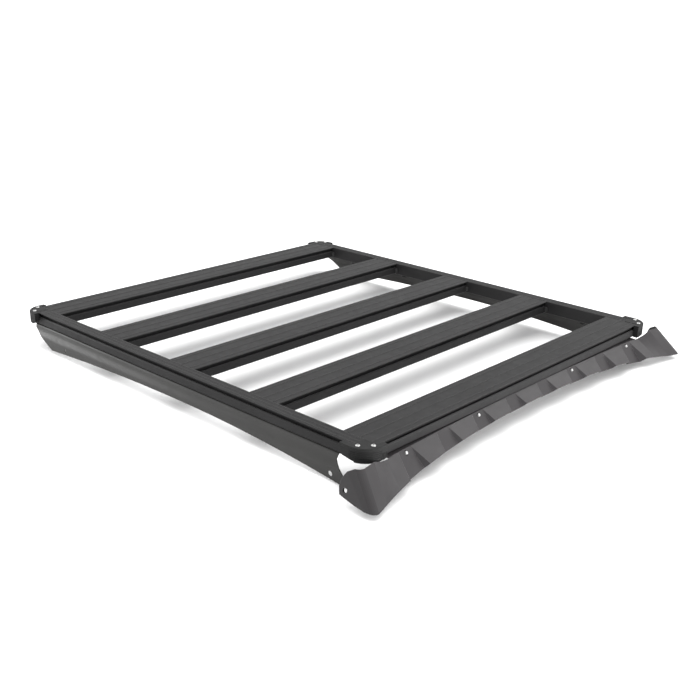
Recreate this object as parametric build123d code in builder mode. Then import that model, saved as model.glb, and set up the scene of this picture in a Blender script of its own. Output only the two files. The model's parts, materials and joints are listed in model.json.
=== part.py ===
"""Flat platform roof rack: five cross planks, two side rails, corner castings, side skirts, wind deflector.

Millimetres. The origin is the middle of the load deck, on the rib tops of the planks.
+X is the vehicle's left side, +Y its rear, +Z up, so the wind deflector faces -Y.
"""

from build123d import *
import math
import os

# Deck frame
frame_width = 1155.0  # over the outer faces of the side rails
frame_length = 1255.0  # over the outer faces of the front and rear planks
plank_pitch = 290.0
plank_width = 95.0
plank_height = 34.0
plank_count = 5
rail_width = 34.0
rail_height = 35.0
wall = 3.0
joint_gap = 0.5  # seam between neighbouring pieces

# Ribs on the plank and rail tops
rib_height = 0.8
rib_width = 3.0
plank_rib_pitch = 32.0
rail_rib_pitch = 12.0

# T-slots in the plank and rail faces
lip = 2.8
slot_mouth = 9.8
slot_neck = 2.0
slot_depth = 9.0
slot_upper_undercut = 0.5
slot_undercut = 3.4
lower_lip_chamfer = 3.2

# Corner castings
corner_overhang = 15.0  # how far a casting stands out beyond the rails
corner_radius = 48.0
front_rail_leg = 60.0  # from the frame's end face back along the rail
rear_rail_leg = 45.5
plank_leg = 49.5  # from the rail's outer face in along the plank
rail_setback = 35.5  # the rail stops short of the frame's end face
cap_thickness = 5.0
leg_corner_radius = 6.0  # lower corner at the end of the leg along the plank
leg_rise_start = 22.0  # the leg along the rail gets lower from here to its end
leg_end_height = 22.5
tenon_length = 30.0
screw_head_radius = 4.9
screw_head_height = 1.8
screw_radius = 4.0
screw_length = 24.0
screw_offset = 22.5  # along each side, between the two screws of a corner

# Side skirts
skirt_sheet = 2.5
skirt_bend_radius = 5.0
skirt_flange = 24.0
skirt_flare = 7.8
skirt_crown_y = -60.0
skirt_crown_z = -71.5
skirt_rear_radius = 7980.0
skirt_front_radius = 4500.0
skirt_hole_radius = 6.0
skirt_hole_y = -537.0
skirt_hole_z = -84.5
skirt_bolt_pitch = 225.0
skirt_bolt_u = 560.0

# Wind deflector
sheet = 2.0
fold_y = 625.5  # the top fold, at the middle of the vehicle
fold_z = -34.5
bow = 17.9  # how far the fold runs forward at bow_span from the middle
bow_span = 600.0
panel_angle = 36.6  # slope below level of the outer panel, and of the sunk flute floors
flute_angle = 52.7
angle_gain = 2.8  # steeper by this at bow_span from the middle
flute_pitch = 133.4
flute_top_half = 21.0
flute_spread = 0.315
flute_wall_run = 0.13
flange_back_y = 584.0
flange_half_span = 521.0
wing_lean = 0.354  # outward per unit down
wing_top_x = 628.0
wing_top_z = -22.0
wing_bend_radius = 16.0
wing_hole_y = -632.5
wing_hole_z = -65.0
wing_hole_radius = 6.0
doubler_size = 24.0
doubler_thickness = 4.0
bracket_sheet = 3.0
bracket_width = 28.0
bracket_bolt_y = 596.0
bolt_down_slope = 9.0

os.makedirs("parts", exist_ok=True)

half_width = frame_width / 2
half_length = frame_length / 2
rail_inner = half_width - rail_width
plank_half_span = rail_inner - joint_gap
rail_half_span = half_length - rail_setback
slot_bottom = lip + slot_mouth
sides = (("right", -1), ("left", 1))
ends = (("front", -1), ("rear", 1))
flutes = [(k - 3.5) * flute_pitch for k in range(8)]
bolt_flutes = [flutes[0], flutes[2], flutes[5], flutes[7]]


def write(part, name):
    """Label one finished piece and write it to its own file."""
    part.label = name
    export_step(part, f"parts/{name}.step")


# ---------------------------------------------------------------- cross planks
def slot_outline(face):
    """Half T-slot polygon, opening in the +X direction of the sketch at x = face."""
    return [
        (face + 1, -lip),
        (face - slot_neck, -lip),
        (face - slot_neck, -lip + slot_upper_undercut),
        (face - slot_depth, -lip + slot_upper_undercut),
        (face - slot_depth, -slot_bottom - slot_undercut),
        (face - slot_neck, -slot_bottom - slot_undercut),
        (face - slot_neck, -slot_bottom),
        (face - lower_lip_chamfer * 0.5, -slot_bottom),
        (face, -slot_bottom - lower_lip_chamfer),
        (face + 1, -slot_bottom - lower_lip_chamfer),
    ]


plank_half = plank_width / 2
chamber_top = -rib_height - wall
chamber_bottom = -plank_height + wall
chamber_outer = plank_half - wall
chamber_inner = plank_half - slot_depth - wall

with BuildSketch(Plane.YZ) as plank_section:
    with Locations((0, -(plank_height + rib_height) / 2)):
        Rectangle(plank_width, plank_height - rib_height)
    chamfer(plank_section.vertices().group_by(Axis.Y)[-1], 0.8)
    fillet(plank_section.vertices().group_by(Axis.Y)[0], 3.0)
    with GridLocations(plank_rib_pitch, 1, 3, 1):
        with Locations((0, -rib_height)):
            Trapezoid(rib_width, rib_height, 60, align=(Align.CENTER, Align.MIN))
    for side in (1, -1):
        with BuildLine():
            Polyline([(side * u, v) for u, v in slot_outline(plank_half)], close=True)
        make_face(mode=Mode.SUBTRACT)
    for side in (1, -1):
        with BuildLine():
            Polyline(
                (side * wall / 2, chamber_top),
                (side * chamber_inner, chamber_top),
                (side * chamber_inner, -slot_bottom - slot_undercut - wall),
                (side * chamber_outer, -slot_bottom - slot_undercut - wall),
                (side * chamber_outer, chamber_bottom),
                (side * wall / 2, chamber_bottom),
                close=True,
            )
        make_face(mode=Mode.SUBTRACT)

plank_names = ("front_plank", "second_plank", "middle_plank", "fourth_plank", "rear_plank")
for index, name in enumerate(plank_names):
    plank_y = (index - (plank_count - 1) / 2) * plank_pitch
    with BuildPart() as plank:
        with Locations((0, plank_y, 0)):
            add(extrude(plank_section.sketch, amount=plank_half_span, both=True, mode=Mode.PRIVATE))
        if name == "front_plank":
            with BuildSketch(Plane.XY.offset(-plank_height - 1)):
                with Locations([(x, -bracket_bolt_y) for x in bolt_flutes]):
                    Circle(3.1)
            extrude(amount=wall + 2, mode=Mode.SUBTRACT)
    write(plank.part, name)

# ------------------------------------------------------------------ side rails
skirt_bolt_ys = [k * skirt_bolt_pitch for k in (-2, -1, 0, 1, 2)]

for side_name, side in sides:
    with BuildPart() as rail:
        with BuildSketch(Plane.XZ.offset(-rail_half_span)):
            with Locations((side * (half_width - rail_width / 2), -(rail_height + rib_height) / 2)):
                Rectangle(rail_width, rail_height - rib_height)
            with Locations((side * (half_width - rail_width / 2), -rib_height)):
                with GridLocations(rail_rib_pitch, 1, 3, 1):
                    Trapezoid(rib_width, rib_height, 60, align=(Align.CENTER, Align.MIN))
            with BuildLine():
                Polyline([(side * u, v) for u, v in slot_outline(half_width)], close=True)
            make_face(mode=Mode.SUBTRACT)
            with BuildLine():
                Polyline(
                    (side * (rail_inner + wall), -rib_height - wall),
                    (side * (half_width - slot_depth - wall), -rib_height - wall),
                    (side * (half_width - slot_depth - wall), -slot_bottom - slot_undercut - wall),
                    (side * (half_width - wall), -slot_bottom - slot_undercut - wall),
                    (side * (half_width - wall), -rail_height + 2 * wall),
                    (side * (half_width - 2 * wall), -rail_height + wall),
                    (side * (rail_inner + wall), -rail_height + wall),
                    close=True,
                )
            make_face(mode=Mode.SUBTRACT)
        extrude(amount=2 * rail_half_span)
        underside = rail.faces().sort_by(Axis.Z)[0]
        lower_edges = underside.edges().filter_by(Axis.Y).sort_by(Axis.X)
        if side > 0:
            lower_edges.reverse()
        fillet(lower_edges[0], 5.0)
        fillet(lower_edges[1], 1.0)
        with BuildSketch(Plane.XY.offset(-rail_height - 1)):
            with Locations([(side * skirt_bolt_u, y) for y in skirt_bolt_ys]):
                Circle(4.1)
        extrude(amount=wall + 2, mode=Mode.SUBTRACT)
    write(rail.part, f"{side_name}_side_rail")


# -------------------------------------------------------------- corner castings
outer_x = half_width + corner_overhang
outer_y = half_length + corner_overhang
leg_x = half_width - plank_leg
seam_x = half_width + joint_gap
seam_y = half_length + joint_gap


def leg_reach(end):
    """How far from the middle the leg along the rail ends."""
    return half_length - (front_rail_leg if end < 0 else rear_rail_leg)


def corner_outline(side, end, inset):
    """Closed outline of a corner casting in plan, with its outer face moved in by inset."""
    radius = corner_radius - inset
    far_x = outer_x - inset
    far_y = outer_y - inset
    bend = math.sqrt(0.5) * radius
    leg_y = leg_reach(end)
    with BuildLine() as outline:
        Polyline(
            (side * (far_x - radius), end * far_y),
            (side * leg_x, end * far_y),
            (side * leg_x, end * seam_y),
            (side * rail_inner, end * seam_y),
            (side * rail_inner, end * (rail_half_span + joint_gap)),
            (side * seam_x, end * (rail_half_span + joint_gap)),
            (side * seam_x, end * leg_y),
            (side * far_x, end * leg_y),
            (side * far_x, end * (far_y - radius)),
        )
        ThreePointArc(
            (side * far_x, end * (far_y - radius)),
            (side * (far_x - radius + bend), end * (far_y - radius + bend)),
            (side * (far_x - radius), end * far_y),
        )
    return outline.line


def screw_places(side, end):
    """The two screws stand on the outer faces of the rail and of the plank."""
    return [
        (side * half_width, end * (half_length - screw_offset)),
        (side * (half_width - screw_offset), end * half_length),
    ]


groove_half = 0.9
groove_levels = [-10.0 - 4.2 * k for k in range(6)]

for end_name, end in ends:
    for side_name, side in sides:
        with BuildPart() as cap:
            with BuildSketch(Plane.XY.offset(-cap_thickness)):
                make_face(corner_outline(side, end, 0))
            extrude(amount=cap_thickness)
            chamfer(cap.faces().sort_by(Axis.Z)[-1].edges().filter_by(GeomType.CIRCLE), 1.6)
            with BuildSketch(Plane.XY):
                with Locations(screw_places(side, end)):
                    Circle(screw_radius + 0.3)
            extrude(amount=-cap_thickness, mode=Mode.SUBTRACT)
        write(cap.part, f"{end_name}_{side_name}_corner_cap")

        with BuildPart() as block:
            with BuildSketch(Plane.XY.offset(-rail_height)):
                make_face(corner_outline(side, end, 0.6))
            extrude(amount=rail_height - cap_thickness - 0.4)
            rim = block.edges().filter_by(GeomType.CIRCLE).sort_by(Axis.Z)[0]
            chamfer(rim, 4.0)
            cross_edges = block.edges().filter_by(Axis.Y)
            leg_edges = cross_edges.filter_by(lambda edge: abs(edge.center().X) < leg_x + 0.1)
            fillet(leg_edges.sort_by(Axis.Z)[0], leg_corner_radius)
            with BuildSketch(Plane.YZ.offset(side * seam_x)):
                with BuildLine():
                    Polyline(
                        (end * (half_length - leg_rise_start), -rail_height - 1),
                        (end * (half_length - leg_rise_start), -rail_height + 5.0),
                        (end * (leg_reach(end) + 4.0), -leg_end_height - 2.0),
                        (end * (leg_reach(end) - 1.0), -leg_end_height + 2.0),
                        (end * (leg_reach(end) - 1.0), -rail_height - 1),
                        close=True,
                    )
                make_face()
            extrude(amount=side * (corner_overhang + 1), mode=Mode.SUBTRACT)
            for level in groove_levels:
                with BuildSketch(Plane.XY.offset(level - groove_half)):
                    with Locations((side * (outer_x - corner_radius), end * (outer_y - corner_radius))):
                        Circle(corner_radius + 2)
                        Circle(corner_radius - 1.8, mode=Mode.SUBTRACT)
                    with Locations((side * (outer_x - corner_radius), end * (outer_y - corner_radius))):
                        Rectangle(
                            corner_radius + 4,
                            corner_radius + 4,
                            align=(
                                Align.MIN if side > 0 else Align.MAX,
                                Align.MIN if end > 0 else Align.MAX,
                            ),
                            mode=Mode.INTERSECT,
                        )
                extrude(amount=2 * groove_half, mode=Mode.SUBTRACT)
            with BuildSketch(Plane.XY.offset(-rail_height + 3)):
                with Locations([(side * (leg_x + 3.0 + 4.4 * k), end * outer_y) for k in range(4)]):
                    Rectangle(2.0, 3.6)
            extrude(amount=16.0, mode=Mode.SUBTRACT)
            tenon_x = rail_inner + (rail_width - slot_depth) / 2
            with BuildSketch(Plane.XZ.offset(-end * (rail_half_span + joint_gap))):
                with Locations((side * tenon_x, -(rail_height + 4) / 2)):
                    Rectangle(rail_width - slot_depth - 2 * wall - 1.6, rail_height - 14)
            extrude(amount=end * (tenon_length + joint_gap))
            with BuildSketch(Plane.YZ.offset(side * (rail_inner + 0.01))):
                with Locations((end * (rail_half_span + 10.8), -(plank_height + 3) / 2)):
                    Rectangle(20.0, plank_height - 14)
            extrude(amount=-side * (tenon_length + joint_gap))
            with BuildSketch(Plane.XY.offset(-cap_thickness)):
                with Locations(screw_places(side, end)):
                    Circle(screw_radius + 0.05)
            extrude(amount=-screw_length, mode=Mode.SUBTRACT)
        write(block.part, f"{end_name}_{side_name}_corner_block")

all_corner_screws = []
for _, end in ends:
    for _, side in sides:
        all_corner_screws += screw_places(side, end)

with BuildPart() as corner_screws:
    with BuildSketch(Plane.XZ):
        with BuildLine():
            Line((0, screw_head_height), (3.6, screw_head_height))
            RadiusArc((3.6, screw_head_height), (screw_head_radius, 0.5), 2.4)
            Line((screw_head_radius, 0.5), (screw_head_radius, 0))
            Line((screw_head_radius, 0), (screw_radius, 0))
            Line((screw_radius, 0), (screw_radius, -screw_length))
            Line((screw_radius, -screw_length), (0, -screw_length))
            Line((0, -screw_length), (0, screw_head_height))
        make_face()
    revolve(axis=Axis.Z)
    with BuildSketch(Plane.XY.offset(screw_head_height + 1)):
        RegularPolygon(2.5, 6)
    extrude(amount=-4.0, mode=Mode.SUBTRACT)
with BuildPart() as corner_screw_set:
    with Locations([(x, y, 0) for x, y in all_corner_screws]):
        add(corner_screws.part)
write(corner_screw_set.part, "corner_screws")


# ----------------------------------------------------------------- side skirts
def arch_z(y):
    """Height of the skirt's lower edge at y."""
    radius = skirt_rear_radius if y > skirt_crown_y else skirt_front_radius
    return skirt_crown_z - (y - skirt_crown_y) ** 2 / (2 * radius)


skirt_top = -rail_height - 0.2
skirt_outer = half_width
skirt_low = -115.0
skirt_rear_foot = 519.0
skirt_front_foot = -590.0
flare_top = -42.0
flare_bottom = -70.0
bend_u = skirt_outer - skirt_bend_radius

def skirt_line(side, inset):
    """Draw the skirt's section, moved in by inset, from its flange down to its foot."""
    bend_end = (side * (skirt_outer - inset), skirt_top - skirt_bend_radius)
    flange_line = Line(
        (side * (bend_u - skirt_flange), skirt_top - inset),
        (side * bend_u, skirt_top - inset),
    )
    bend_line = RadiusArc(flange_line @ 1, bend_end, side * (skirt_bend_radius - inset))
    upper_line = Line(bend_line @ 1, (side * (skirt_outer - inset), flare_top))
    flare_line = Spline(
        upper_line @ 1,
        (side * (skirt_outer + 0.45 * skirt_flare - inset), (flare_top + flare_bottom) / 2),
        (side * (skirt_outer + skirt_flare - inset), flare_bottom),
        tangents=((0, -1), (0, -1)),
    )
    foot_line = Line(flare_line @ 1, (side * (skirt_outer + skirt_flare - inset), skirt_low))
    return [flange_line, bend_line, upper_line, flare_line, foot_line]


for side_name, side in sides:
    with BuildPart() as skirt:
        with BuildSketch(Plane.XZ.offset(-620)):
            with BuildLine():
                outer_line = skirt_line(side, 0)
                inner_line = skirt_line(side, skirt_sheet)
                Line(outer_line[0] @ 0, inner_line[0] @ 0)
                Line(outer_line[-1] @ 1, inner_line[-1] @ 1)
            make_face()
        extrude(amount=1240)
        with BuildSketch(Plane.YZ.offset(side * (skirt_outer - 60))):
            with BuildLine():
                Polyline(
                    (skirt_rear_foot, arch_z(skirt_rear_foot)),
                    (604, -47),
                    (604, skirt_top + 1),
                    (-554, skirt_top + 1),
                    (-548, -50),
                    (-552, -56),
                    (skirt_front_foot, -97),
                    (skirt_front_foot, arch_z(skirt_front_foot)),
                )
                front_middle = (skirt_front_foot + skirt_crown_y) / 2
                rear_middle = (skirt_rear_foot + skirt_crown_y) / 2
                ThreePointArc(
                    (skirt_front_foot, arch_z(skirt_front_foot)),
                    (front_middle, arch_z(front_middle)),
                    (skirt_crown_y, skirt_crown_z),
                )
                ThreePointArc(
                    (skirt_crown_y, skirt_crown_z),
                    (rear_middle, arch_z(rear_middle)),
                    (skirt_rear_foot, arch_z(skirt_rear_foot)),
                )
            make_face()
        extrude(amount=side * 90, mode=Mode.INTERSECT)
        with BuildSketch(Plane.YZ.offset(side * (skirt_outer - 10))):
            with Locations((skirt_hole_y, skirt_hole_z)):
                Circle(skirt_hole_radius)
            with Locations((450, -76)):
                SlotOverall(11, 4.5, rotation=90)
        extrude(amount=side * 30, mode=Mode.SUBTRACT)
        with BuildSketch(Plane.XY.offset(skirt_top + 1)):
            with Locations([(side * skirt_bolt_u, y) for y in skirt_bolt_ys]):
                Circle(4.3)
        extrude(amount=-skirt_sheet - 2, mode=Mode.SUBTRACT)
    write(skirt.part, f"{side_name}_skirt")

with BuildPart() as skirt_bolt:
    with BuildSketch(Plane.XY.offset(skirt_top - skirt_sheet)):
        Circle(8.0)
    extrude(amount=-1.5)
    with BuildSketch(Plane.XY.offset(skirt_top - skirt_sheet - 1.5)):
        RegularPolygon(7.5, 6)
    extrude(amount=-5.0)
    with BuildSketch(Plane.XY.offset(skirt_top - skirt_sheet)):
        Circle(4.0)
    extrude(amount=14.0)
with BuildPart() as skirt_bolts:
    with Locations([(side * skirt_bolt_u, y, 0) for _, side in sides for y in skirt_bolt_ys]):
        add(skirt_bolt.part)
write(skirt_bolts.part, "skirt_bolts")


# -------------------------------------------------------------- wind deflector
def slope_length(x):
    """Length of the deflector from its fold down to its arched lower edge."""
    share = abs(x) / bow_span
    return 36.5 + 21.3 * share**2 + 24.0 * share**4


def fold_point(x):
    """A point on the deflector's top fold."""
    return Vector(x, -fold_y - bow * (x / bow_span) ** 2, fold_z)


def down_slope(x, base_angle):
    """Unit vector at x that runs down and forward, from a slope's angle at the middle."""
    angle = math.radians(base_angle + angle_gain * (x / bow_span) ** 2)
    return Vector(0, -math.cos(angle), -math.sin(angle))


def foot_point(x, base_angle):
    """A point on the lower edge of the outer panel or of a flute floor."""
    return fold_point(x) + down_slope(x, base_angle) * slope_length(x)


panel_inward = Vector(0, math.sin(math.radians(panel_angle)), -math.cos(math.radians(panel_angle)))


def flute_stations(center):
    """The four section lines of one flute, in order of rising x: top, foot, inward direction."""
    spread = flute_spread * slope_length(center)
    run = flute_wall_run * slope_length(center)
    top = flute_top_half
    foot = flute_top_half + spread
    return [
        (fold_point(center - top), foot_point(center - foot, panel_angle), panel_inward),
        (fold_point(center - top + 2), foot_point(center - foot + run, flute_angle), panel_inward),
        (fold_point(center + top - 2), foot_point(center + foot - run, flute_angle), panel_inward),
        (fold_point(center + top), foot_point(center + foot, panel_angle), panel_inward),
    ]


def wing_point(side, y, z):
    """A point on the flat outer face of a wing, which leans outward as it goes down."""
    return Vector(side * (wing_top_x - wing_lean * (z - wing_top_z)), y, z)


def end_stations(side):
    """Section lines from the last flute past the corner casting, round the bend and along the wing."""
    inward = Vector(-side, 0, -wing_lean).normalized()
    lines = []
    rising_edge = (((530, -641.2, -35.6), 546), ((552, -646.4, -30.0), 572), ((578, -650.5, -20.0), 600))
    for (x, y, z), foot_x in rising_edge:
        lines.append((Vector(side * x, y, z), foot_point(side * foot_x, panel_angle), panel_inward))
    top_corner = Vector(wing_top_x - 1, -655, -21)
    foot_corner = Vector(651, -717, -88)
    for turn in (0, 15, 30, 45, 60, 75):
        across = wing_bend_radius * (math.sin(math.radians(turn)) - 1)
        back = wing_bend_radius * (1 - math.cos(math.radians(turn)))
        normal = (panel_inward * (1 - turn / 90) + inward * (turn / 90)).normalized()
        points = []
        for corner in (top_corner, foot_corner):
            points.append(Vector(side * (corner.X + across), corner.Y + back, corner.Z))
        lines.append((*points, normal))
    for top, foot in (
        ((-627, -30.5), (-692, -88.2)),
        ((-622, -38.0), (-668, -85.5)),
        ((-618.5, -46.0), (-648, -82.0)),
        ((-616.3, -54.0), (-632, -79.0)),
        ((-616, -62.0), (-621.5, -76.5)),
    ):
        lines.append((wing_point(side, *top), wing_point(side, *foot), inward))
    return lines


stations = list(reversed(end_stations(-1)))
for center in flutes:
    stations += flute_stations(center)
stations += end_stations(1)


def floor_plane(x, depth):
    """Plane of the flute floor at its bolt, moved in by depth, with its normal facing out."""
    slope = down_slope(x, flute_angle)
    tangent = Vector(1, -2 * bow * x / bow_span**2, 0)
    outward = slope.cross(tangent).normalized()
    return Plane(origin=fold_point(x) + slope * bolt_down_slope - outward * depth, x_dir=slope, z_dir=outward)


with BuildPart() as wind_deflector:
    for top, foot, inward in stations:
        along = (foot - top).normalized()
        section = Plane(origin=top, x_dir=along, z_dir=along.cross(inward))
        with BuildSketch(section):
            with BuildLine():
                depth = section.to_local_coords(top + inward * sheet)
                length = (foot - top).length
                Polyline((0, 0), (length, 0), (length + depth.X, depth.Y), (depth.X, depth.Y), close=True)
            make_face()
    loft(ruled=True)
    with BuildSketch(Plane.XY.offset(fold_z)):
        with BuildLine():
            tops = [fold_point(-flange_half_span)]
            tops += [top for top, _, _ in stations if abs(top.X) < flange_half_span]
            tops += [fold_point(flange_half_span)]
            Polyline(
                (-flange_half_span, -flange_back_y),
                *[(top.X, top.Y) for top in tops],
                (flange_half_span, -flange_back_y),
                close=True,
            )
        make_face()
    extrude(amount=-sheet)
    for x in bolt_flutes:
        with BuildSketch(floor_plane(x, -4)):
            SlotOverall(12, 6.4)
        extrude(amount=-10, mode=Mode.SUBTRACT)
    with BuildSketch(Plane.XY.offset(fold_z + 1)):
        with Locations([(x, -bracket_bolt_y) for x in bolt_flutes]):
            Circle(3.3)
    extrude(amount=-sheet - 2, mode=Mode.SUBTRACT)
    for _, side in sides:
        outward = Vector(side, 0, wing_lean).normalized()
        place = wing_point(side, wing_hole_y, wing_hole_z) + outward * 8
        with BuildSketch(Plane(origin=place, x_dir=Vector(0, 1, 0), z_dir=outward)):
            Circle(wing_hole_radius)
        extrude(amount=-16, mode=Mode.SUBTRACT)
write(wind_deflector.part, "wind_deflector")

with BuildPart() as wing_doublers:
    for _, side in sides:
        outward = Vector(side, 0, wing_lean).normalized()
        place = wing_point(side, wing_hole_y, wing_hole_z) - outward * (sheet + 0.02)
        with BuildSketch(Plane(origin=place, x_dir=Vector(0, 1, 0), z_dir=outward)):
            RectangleRounded(doubler_size, doubler_size, 3)
            Circle(wing_hole_radius, mode=Mode.SUBTRACT)
        extrude(amount=-doubler_thickness)
write(wing_doublers.part, "wing_doublers")

# Brackets that carry the deflector under the front plank
bracket_top = fold_z - sheet - 0.1
bracket_names = ("outer_right", "inner_right", "inner_left", "outer_left")


def bracket_outline(x):
    """Side outline of a bracket at x: a level tab under the flange and a tab behind the flute floor."""
    slope = down_slope(x, flute_angle)
    outward = Vector(0, slope.Z, -slope.Y)
    back = fold_point(x) - outward * (sheet + 0.3)
    start = back + slope * ((bracket_top - back.Z) / slope.Z)
    foot = start + slope * 20
    inner = start - outward * bracket_sheet
    inner_start = inner + slope * ((bracket_top - bracket_sheet - inner.Z) / slope.Z)
    inner_foot = foot - outward * bracket_sheet
    return [
        (-bracket_bolt_y + 11, bracket_top),
        (start.Y, bracket_top),
        (foot.Y, foot.Z),
        (inner_foot.Y, inner_foot.Z),
        (inner_start.Y, inner_start.Z),
        (-bracket_bolt_y + 11, bracket_top - bracket_sheet),
    ]


for x, name in zip(bolt_flutes, bracket_names):
    with BuildPart() as bracket:
        for edge_x in (x - bracket_width / 2, x + bracket_width / 2):
            with BuildSketch(Plane.YZ.offset(edge_x)):
                with BuildLine():
                    Polyline(*bracket_outline(edge_x), close=True)
                make_face()
        loft(ruled=True)
        with BuildSketch(Plane.XY.offset(bracket_top + 1)):
            with Locations((x, -bracket_bolt_y)):
                Circle(3.3)
        extrude(amount=-bracket_sheet - 2, mode=Mode.SUBTRACT)
        with BuildSketch(floor_plane(x, 0)):
            Circle(3.2)
        extrude(amount=-12, mode=Mode.SUBTRACT)
    write(bracket.part, f"{name}_deflector_bracket")

with BuildPart() as bracket_bolts:
    with Locations([(x, -bracket_bolt_y, bracket_top - bracket_sheet) for x in bolt_flutes]):
        Cylinder(5.5, 5.0, align=(Align.CENTER, Align.CENTER, Align.MAX))
        Cylinder(3.0, 14.0, align=(Align.CENTER, Align.CENTER, Align.MIN))
write(bracket_bolts.part, "bracket_bolts")

with BuildPart() as deflector_bolts:
    for x in bolt_flutes:
        with BuildSketch(floor_plane(x, -0.05)):
            Circle(4.0)
        extrude(amount=2.4, taper=15)
        with BuildSketch(floor_plane(x, -0.05)):
            Circle(2.9)
        extrude(amount=-14)
write(deflector_bolts.part, "deflector_bolts")

with BuildPart() as deflector_nuts:
    for x in bolt_flutes:
        with BuildSketch(floor_plane(x, sheet + bracket_sheet + 0.6)):
            RegularPolygon(5.8, 6)
            Circle(3.0, mode=Mode.SUBTRACT)
        extrude(amount=-5)
write(deflector_nuts.part, "deflector_nuts")

# Fillet welds in the corners between plank faces and rails
weld_leg = 6.0
weld_top = -slot_bottom - lower_lip_chamfer - 1.5
weld_bottom = -plank_height + 3.5
weld_corners = []
for index in range(plank_count):
    plank_y = (index - (plank_count - 1) / 2) * plank_pitch
    for end in (-1, 1):
        face_y = plank_y + end * plank_half
        if abs(face_y) < half_length - 1:
            weld_corners += [(side * rail_inner, face_y, -side, end) for _, side in sides]

with BuildPart() as weld_beads:
    for x, y, along_x, along_y in weld_corners:
        with BuildSketch(Plane.XY.offset(weld_bottom)):
            with BuildLine():
                Line((x, y), (x + along_x * weld_leg, y))
                ThreePointArc(
                    (x + along_x * weld_leg, y),
                    (x + along_x * weld_leg * 0.58, y + along_y * weld_leg * 0.58),
                    (x, y + along_y * weld_leg),
                )
                Line((x, y + along_y * weld_leg), (x, y))
            make_face()
        extrude(amount=weld_top - weld_bottom)
write(weld_beads.part, "weld_beads")
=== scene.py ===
"""Flat platform roof rack: finishes, weld beads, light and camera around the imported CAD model."""

import json
import math

import bmesh
import bpy
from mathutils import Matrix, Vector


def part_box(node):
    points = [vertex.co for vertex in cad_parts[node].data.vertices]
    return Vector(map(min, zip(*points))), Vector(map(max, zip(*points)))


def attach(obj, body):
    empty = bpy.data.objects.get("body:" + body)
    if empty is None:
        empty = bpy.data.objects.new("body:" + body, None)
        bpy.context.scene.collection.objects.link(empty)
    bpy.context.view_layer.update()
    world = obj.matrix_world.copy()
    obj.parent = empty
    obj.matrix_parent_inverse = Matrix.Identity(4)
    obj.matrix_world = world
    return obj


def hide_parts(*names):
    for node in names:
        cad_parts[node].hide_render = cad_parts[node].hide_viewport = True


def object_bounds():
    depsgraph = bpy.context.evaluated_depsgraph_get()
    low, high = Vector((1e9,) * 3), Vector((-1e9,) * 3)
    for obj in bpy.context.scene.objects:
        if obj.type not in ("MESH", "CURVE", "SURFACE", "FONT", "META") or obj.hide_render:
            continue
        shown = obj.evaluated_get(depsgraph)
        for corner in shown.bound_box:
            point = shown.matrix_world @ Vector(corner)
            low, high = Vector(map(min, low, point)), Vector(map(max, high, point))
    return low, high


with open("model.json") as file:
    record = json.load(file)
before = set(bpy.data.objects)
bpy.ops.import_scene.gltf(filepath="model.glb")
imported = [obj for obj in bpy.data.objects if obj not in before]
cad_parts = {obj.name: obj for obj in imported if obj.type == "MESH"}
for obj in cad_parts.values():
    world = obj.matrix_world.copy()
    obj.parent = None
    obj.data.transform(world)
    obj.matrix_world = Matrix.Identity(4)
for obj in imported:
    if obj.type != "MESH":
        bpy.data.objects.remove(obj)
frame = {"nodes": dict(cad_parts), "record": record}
cad_box = [[float(v) for v in corner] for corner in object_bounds()]
MM = 0.001

# Patterns of the coats, the steel and the floor. Scales count repeats in a metre.
CLOUD_SCALE = 7.0
PATCH_SCALE = 45.0
PEEL_TO_GRAIN = 0.25  # the orange peel's scale, as a share of the grain's
DARK_GAIN = 0.86
LIGHT_GAIN = 1.14
SPECK_GAIN = 1.8
STREAK_SCALE = 900.0
DULL_SCALE = 160.0
FLOOR_SCALE = 1.5

# Cosines between a face and its rounded normal, where the edge mask starts and where it is full
EDGE_START = 0.995
EDGE_FULL = 0.80

# The colour sockets of Blender's Mix node, which has others of the same names
MIX_FACTOR = 0
MIX_FIRST = 6
MIX_SECOND = 7
MIX_RESULT = 2

# Weld beads
BEAD_LEG = 6.0 * MM
RIPPLE_PITCH = 1.5 * MM
RIPPLE_DEPTH = 0.10  # share of the bead's throat
BEAD_THROAT = 0.82  # how far the bead's middle stands out, as a share of its leg
BEAD_END = 0.55  # the bead's leg at its two ends, as a share of its full leg
BEAD_GROWTH = 3.0  # how fast that share grows, over one bead's length
BEAD_LEVELS = 33
BEAD_SIDES = 9

# Studio
FLOOR_HALF = 30.0
WORLD_STRENGTH = 1.30
MIDDLE = (0.0, 0.0, 0.0)
DEFLECTOR_FRONT = (0.0, -0.6, -0.05)

# Camera, fitted to the rack's edges
SENSOR_WIDTH = 36.0
LENS = 51.48
CLIP_END = 100.0
CAMERA_PLACE = (-1.9343, -1.8147, 0.8697)
CAMERA_TURN = (69.868, -1.189, -47.229)  # degrees


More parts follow.
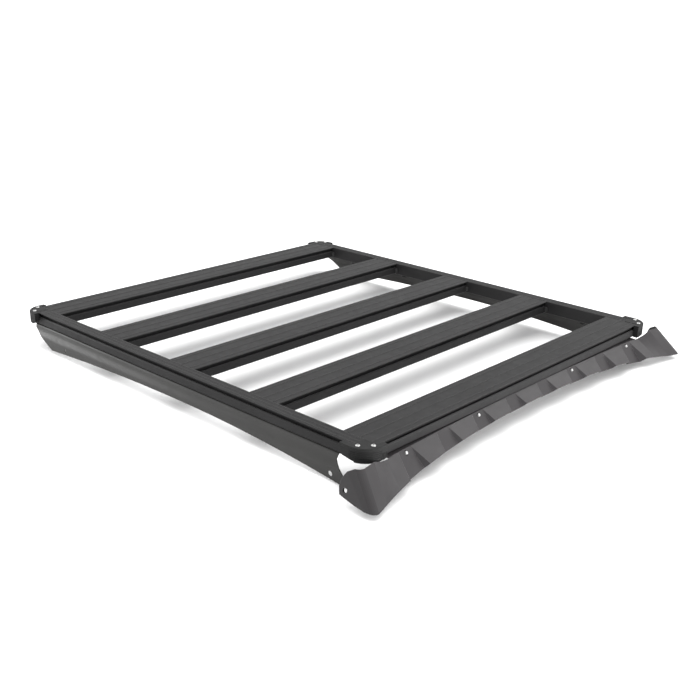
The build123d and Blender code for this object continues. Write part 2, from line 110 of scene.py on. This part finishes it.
# ------------------------------------------------------------------- materials
class Graph:
    """A material's node tree, with short helpers for adding and joining nodes."""

    def __init__(self, name):
        self.material = bpy.data.materials.new(name)
        self.material.use_nodes = True
        self.tree = self.material.node_tree
        self.shader = self.tree.nodes["Principled BSDF"]
        self.place = self.add("ShaderNodeTexCoord").outputs["Object"]

    def add(self, kind, **values):
        node = self.tree.nodes.new(kind)
        for key, value in values.items():
            setattr(node, key, value)
        return node

    def join(self, source, target):
        self.tree.links.new(source, target)

    def noise(self, scale, detail, roughness=0.5, stretch=None):
        node = self.add("ShaderNodeTexNoise")
        node.inputs["Scale"].default_value = scale
        node.inputs["Detail"].default_value = detail
        node.inputs["Roughness"].default_value = roughness
        if stretch is None:
            self.join(self.place, node.inputs["Vector"])
        else:
            mapping = self.add("ShaderNodeMapping")
            mapping.inputs["Scale"].default_value = stretch
            self.join(self.place, mapping.inputs["Vector"])
            self.join(mapping.outputs["Vector"], node.inputs["Vector"])
        return node.outputs["Fac"]

    def remap(self, value, low, high, to_low, to_high):
        node = self.add("ShaderNodeMapRange")
        for key, number in zip(("From Min", "From Max", "To Min", "To Max"), (low, high, to_low, to_high)):
            node.inputs[key].default_value = number
        self.join(value, node.inputs["Value"])
        return node.outputs["Result"]

    def math(self, operation, first, second):
        node = self.add("ShaderNodeMath", operation=operation)
        for socket, value in zip(node.inputs, (first, second)):
            if isinstance(value, float):
                socket.default_value = value
            else:
                self.join(value, socket)
        return node.outputs["Value"]

    def blend(self, factor, first, second):
        node = self.add("ShaderNodeMix", data_type="RGBA")
        for key, value in ((MIX_FACTOR, factor), (MIX_FIRST, first), (MIX_SECOND, second)):
            if isinstance(value, (tuple, list)):
                node.inputs[key].default_value = (*value, 1.0)
            else:
                self.join(value, node.inputs[key])
        return node.outputs[MIX_RESULT]

    def bump(self, height, strength, distance, normal):
        node = self.add("ShaderNodeBump")
        node.inputs["Strength"].default_value = strength
        node.inputs["Distance"].default_value = distance
        self.join(height, node.inputs["Height"])
        self.join(normal, node.inputs["Normal"])
        return node.outputs["Normal"]

    def soft_edges(self, radius):
        """Rounded-edge normal, and a mask that is high along the edges."""
        bevel = self.add("ShaderNodeBevel", samples=4)
        bevel.inputs["Radius"].default_value = radius
        geometry = self.add("ShaderNodeNewGeometry")
        dot = self.add("ShaderNodeVectorMath", operation="DOT_PRODUCT")
        self.join(bevel.outputs["Normal"], dot.inputs[0])
        self.join(geometry.outputs["Normal"], dot.inputs[1])
        mask = self.remap(dot.outputs["Value"], EDGE_START, EDGE_FULL, 0.0, 1.0)
        return bevel.outputs["Normal"], mask


def scaled(color, gain):
    return tuple(channel * gain for channel in color)


def powder_coat(
    name, color, roughness, gloss, grain_mm=0.9, grain_depth=0.05, edge_highlight_gain=1.5, edge_radius=0.7
):
    """Textured powder coat: orange-peel grain, soft mottling, light specks and a painted highlight along
    the edges.

    Grain size, grain depth and edge radius are in millimetres. The edge gain is how many times lighter
    than the coat the painted highlight along its edges is.
    """
    g = Graph(name)
    fine = g.noise(1.0 / (grain_mm * MM), detail=3.0, roughness=0.6)
    peel = g.noise(PEEL_TO_GRAIN / (grain_mm * MM), detail=1.0)
    cloud = g.noise(CLOUD_SCALE, detail=4.0, roughness=0.55)
    patch = g.noise(PATCH_SCALE, detail=3.0, roughness=0.6)
    round_normal, edge = g.soft_edges(edge_radius * MM)

    dark = scaled(color, DARK_GAIN)
    tone = g.blend(g.remap(cloud, 0.3, 0.7, 0.0, 1.0), dark, scaled(color, LIGHT_GAIN))
    tone = g.blend(g.remap(patch, 0.42, 0.68, 0.0, 0.25), tone, dark)
    tone = g.blend(g.remap(fine, 0.62, 0.78, 0.0, 0.5), tone, scaled(color, SPECK_GAIN))
    # Painted highlight: the base colour is lightened along the edges, more in some patches, where light
    # would catch rounded edges.
    edge_highlight = g.math("MULTIPLY", edge, g.remap(patch, 0.3, 0.6, 0.35, 1.0))
    tone = g.blend(edge_highlight, tone, scaled(color, edge_highlight_gain))
    g.join(tone, g.shader.inputs["Base Color"])

    shine = g.remap(g.math("ADD", fine, patch), 0.7, 1.3, roughness - 0.05, roughness + 0.07)
    g.join(g.math("SUBTRACT", shine, g.math("MULTIPLY", edge, 0.08)), g.shader.inputs["Roughness"])
    height = g.math("ADD", g.math("MULTIPLY", fine, 0.6), g.math("MULTIPLY", peel, 0.8))
    g.join(g.bump(height, 0.55, grain_depth * MM, round_normal), g.shader.inputs["Normal"])
    g.shader.inputs["Specular IOR Level"].default_value = gloss
    return g.material


def bright_steel(name):
    """Stainless fasteners with fine streaks, slight dulling in patches and a painted highlight along the
    edges.
    """
    g = Graph(name)
    streak = g.noise(STREAK_SCALE, detail=2.0, stretch=(1.0, 0.12, 1.0))
    patch = g.noise(DULL_SCALE, detail=3.0)
    round_normal, edge = g.soft_edges(0.4 * MM)
    tone = g.blend(g.remap(patch, 0.35, 0.7, 0.0, 1.0), (0.55, 0.55, 0.54), (0.42, 0.42, 0.42))
    # Painted highlight: the base colour is lightened along the fastener edges.
    tone = g.blend(g.math("MULTIPLY", edge, 0.5), tone, (0.70, 0.70, 0.70))
    g.join(tone, g.shader.inputs["Base Color"])
    g.join(g.remap(streak, 0.3, 0.7, 0.30, 0.46), g.shader.inputs["Roughness"])
    g.join(g.bump(streak, 0.2, 0.02 * MM, round_normal), g.shader.inputs["Normal"])
    g.shader.inputs["Metallic"].default_value = 0.75
    return g.material


def pale_floor(name):
    """Pale studio floor, very faintly mottled."""
    g = Graph(name)
    mottle = g.noise(FLOOR_SCALE, detail=2.0)
    g.join(g.blend(mottle, (0.93, 0.93, 0.93), (0.96, 0.96, 0.96)), g.shader.inputs["Base Color"])
    g.shader.inputs["Roughness"].default_value = 0.9
    g.shader.inputs["Specular IOR Level"].default_value = 0.0
    return g.material


# Each coat's edge gain sets how much lighter its painted edge highlight is.
coats = {
    "extrusion_coat": {
        "color": (0.0165, 0.0162, 0.0165),
        "roughness": 0.50,
        "gloss": 0.105,
        "edge_highlight_gain": 6.0,
        "edge_radius": 0.9,
    },
    "cap_coat": {
        "color": (0.014, 0.014, 0.014),
        "roughness": 0.52,
        "gloss": 0.09,
        "grain_mm": 1.1,
        "edge_highlight_gain": 6.0,
    },
    "casting_coat": {
        "color": (0.014, 0.014, 0.014),
        "roughness": 0.56,
        "gloss": 0.11,
        "grain_mm": 1.4,
        "grain_depth": 0.09,
        "edge_highlight_gain": 2.5,
    },
    "skirt_coat": {
        "color": (0.024, 0.0235, 0.0225),
        "roughness": 0.38,
        "gloss": 0.27,
        "edge_highlight_gain": 7.0,
        "edge_radius": 1.2,
    },
    "deflector_coat": {
        "color": (0.019, 0.0172, 0.0183),
        "roughness": 0.38,
        "gloss": 0.34,
        "grain_mm": 0.7,
        "edge_highlight_gain": 7.0,
        "edge_radius": 1.0,
    },
    "bracket_coat": {"color": (0.014, 0.014, 0.014), "roughness": 0.50, "gloss": 0.2},
    "weld_coat": {"color": (0.018, 0.018, 0.018), "roughness": 0.48, "gloss": 0.25, "grain_mm": 0.6},
}
finishes = {name: powder_coat(name, **look) for name, look in coats.items()}
finishes["fastener_steel"] = bright_steel("fastener_steel")

slot_of_node = {row["node"]: row["material_slot"] for row in frame["record"]["subparts"]}
for node, obj in frame["nodes"].items():
    for material_slot in obj.material_slots:
        material_slot.material = finishes[slot_of_node[node]]


# ------------------------------------------------------------------ weld beads
def weld_bead(mesh, corner, along_x, along_y, low, high):
    """One rippled fillet weld that stands in the corner between a plank face and a rail."""
    rings = []
    for level in range(BEAD_LEVELS):
        share = level / (BEAD_LEVELS - 1)
        z = low + (high - low) * share
        ripple = 1.0 - RIPPLE_DEPTH * abs(math.sin(math.pi * (high - low) * share / RIPPLE_PITCH))
        taper = min(1.0, BEAD_END + BEAD_GROWTH * min(share, 1.0 - share))
        ring = [mesh.verts.new((corner[0], corner[1], z))]
        for k in range(BEAD_SIDES):
            turn = 0.5 * math.pi * k / (BEAD_SIDES - 1)
            reach = BEAD_LEG * taper * (1.0 - (1.0 - BEAD_THROAT * ripple) * math.sin(2.0 * turn))
            ring.append(
                mesh.verts.new(
                    (
                        corner[0] + along_x * reach * math.cos(turn),
                        corner[1] + along_y * reach * math.sin(turn),
                        z,
                    )
                )
            )
        rings.append(ring)
    for lower, upper in zip(rings, rings[1:]):
        for k in range(len(lower)):
            after = (k + 1) % len(lower)
            mesh.faces.new((lower[k], lower[after], upper[after], upper[k]))
    mesh.faces.new(rings[0])
    mesh.faces.new(rings[-1])


def make_welds():
    """Rippled weld beads in place of the plain CAD ones."""
    planks = ("front_plank", "second_plank", "middle_plank", "fourth_plank", "rear_plank")
    low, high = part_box("weld_beads")
    frame_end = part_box("rear_plank")[1][1]
    beads = bmesh.new()
    for name in planks:
        corner_low, corner_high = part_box(name)
        for along_x, x in ((1, low[0]), (-1, high[0])):
            for along_y, y in ((-1, corner_low[1]), (1, corner_high[1])):
                # The frame's own front and rear faces have no beads.
                if abs(y) < frame_end - MM:
                    weld_bead(beads, (x, y), along_x, along_y, low[2], high[2])
    bmesh.ops.recalc_face_normals(beads, faces=beads.faces)
    data = bpy.data.meshes.new("rippled_welds")
    beads.to_mesh(data)
    beads.free()
    for polygon in data.polygons:
        polygon.use_smooth = True
    data.materials.append(finishes["weld_coat"])
    welds = bpy.data.objects.new("rippled_welds", data)
    bpy.context.scene.collection.objects.link(welds)
    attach(welds, "root")
    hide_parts("weld_beads")


make_welds()


# --------------------------------------------------------- floor, light, camera
def make_floor(z):
    """A large plain floor at height z."""
    data = bpy.data.meshes.new("studio_floor")
    corners = [(x * FLOOR_HALF, y * FLOOR_HALF, z) for x, y in ((-1, -1), (1, -1), (1, 1), (-1, 1))]
    data.from_pydata(corners, [], [(0, 1, 2, 3)])
    data.materials.append(pale_floor("studio_floor"))
    floor = bpy.data.objects.new("studio_floor", data)
    bpy.context.scene.collection.objects.link(floor)


def soft_light(name, place, target, width, height, watts):
    """A rectangular softbox at place, turned towards target."""
    data = bpy.data.lights.new(name, "AREA")
    data.shape = "RECTANGLE"
    data.size = width
    data.size_y = height
    data.energy = watts
    light = bpy.data.objects.new(name, data)
    light.location = place
    aim = [t - p for t, p in zip(target, place)]
    flat = math.hypot(aim[0], aim[1])
    light.rotation_euler = (math.atan2(flat, -aim[2]), 0.0, math.atan2(aim[1], aim[0]) - 0.5 * math.pi)
    bpy.context.scene.collection.objects.link(light)


def make_world(strength):
    """Even white surroundings."""
    world = bpy.data.worlds.new("studio")
    world.use_nodes = True
    background = world.node_tree.nodes["Background"]
    background.inputs["Color"].default_value = (1.0, 1.0, 1.0, 1.0)
    background.inputs["Strength"].default_value = strength
    bpy.context.scene.world = world


make_floor(cad_box[0][2])
make_world(WORLD_STRENGTH)
soft_light("overhead_softbox", place=(0.3, 0.3, 3.6), target=MIDDLE, width=5.0, height=5.0, watts=140.0)
soft_light(
    "side_softbox", place=(-2.0, 3.4, 0.5), target=(-0.5, 0.6, -0.05), width=1.4, height=1.0, watts=45.0
)
soft_light(
    "low_front_softbox",
    place=(0.5, -3.2, 0.03),
    target=DEFLECTOR_FRONT,
    width=3.0,
    height=0.24,
    watts=120.0,
)
# On the camera's right, which is the vehicle's left
soft_light(
    "right_softbox", place=(2.7, -1.3, 2.2), target=(0.1, -0.6, -0.05), width=2.0, height=1.5, watts=20.0
)

camera_data = bpy.data.cameras.new("camera")
camera_data.sensor_width = SENSOR_WIDTH
camera_data.lens = LENS
camera_data.clip_end = CLIP_END
camera = bpy.data.objects.new("camera", camera_data)
camera.location = CAMERA_PLACE
camera.rotation_euler = [math.radians(angle) for angle in CAMERA_TURN]
bpy.context.scene.collection.objects.link(camera)
bpy.context.scene.camera = camera
bpy.context.scene.view_settings.view_transform = "Standard"
